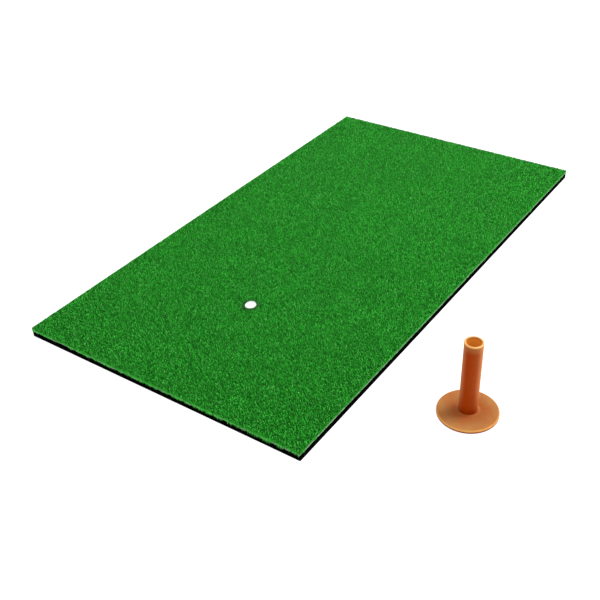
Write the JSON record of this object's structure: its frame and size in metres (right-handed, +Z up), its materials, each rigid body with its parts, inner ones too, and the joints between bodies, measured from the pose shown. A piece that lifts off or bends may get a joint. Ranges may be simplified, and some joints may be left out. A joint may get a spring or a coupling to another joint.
{
  "type": "golf hitting mat",
  "caption": "Flat rectangular turf hitting mat: short green pile on a black foam pad, a lined tee hole on the centreline near one end, and a loose hollow rubber tee with a round foot.",
  "frame": {"origin": "centre of the mat's underside, on the floor", "axes": "+X along the mat in the direction of play, with the tee hole towards -X; +Y across the mat, with the loose tee standing on the -Y side; +Z up"},
  "size_m": [0.6, 0.4496, 0.08],
  "materials": {
    "foam_black": "matt closed-cell foam with a fine skin and a cut edge",
    "coat_black": "matt rubbery back coat, seen only at its cut edge",
    "backing_pale": "pale woven scrim, seen only at its cut edge",
    "pile_green": "dense short curled synthetic grass pile",
    "liner_white": "plain white moulded sleeve",
    "tee_rubber": "translucent amber gum rubber, satin moulded skin"
  },
  "bodies": {
    "mat": {"base_pad": "foam_black", "latex_coat": "coat_black", "primary_backing": "backing_pale", "turf_pile": "pile_green", "hole_liner": "liner_white"},
    "tee": {"tee_base": "tee_rubber"},
    "tee_tube": {"tee_post": "tee_rubber"}
  },
  "joints": [
    {"name": "tee_lift", "type": "slide", "parent": "mat", "child": "tee", "axis": [0, 0, 1], "range_m": [0, 0.12]},
    {"name": "tee_flex", "type": "hinge", "parent": "tee", "child": "tee_tube", "pos_m": [-0.169, -0.2565, 0.0166], "axis": [0, 1, 0], "range_deg": [-80, 80], "stiffness_Nm_per_rad": 0.44}
  ]
}
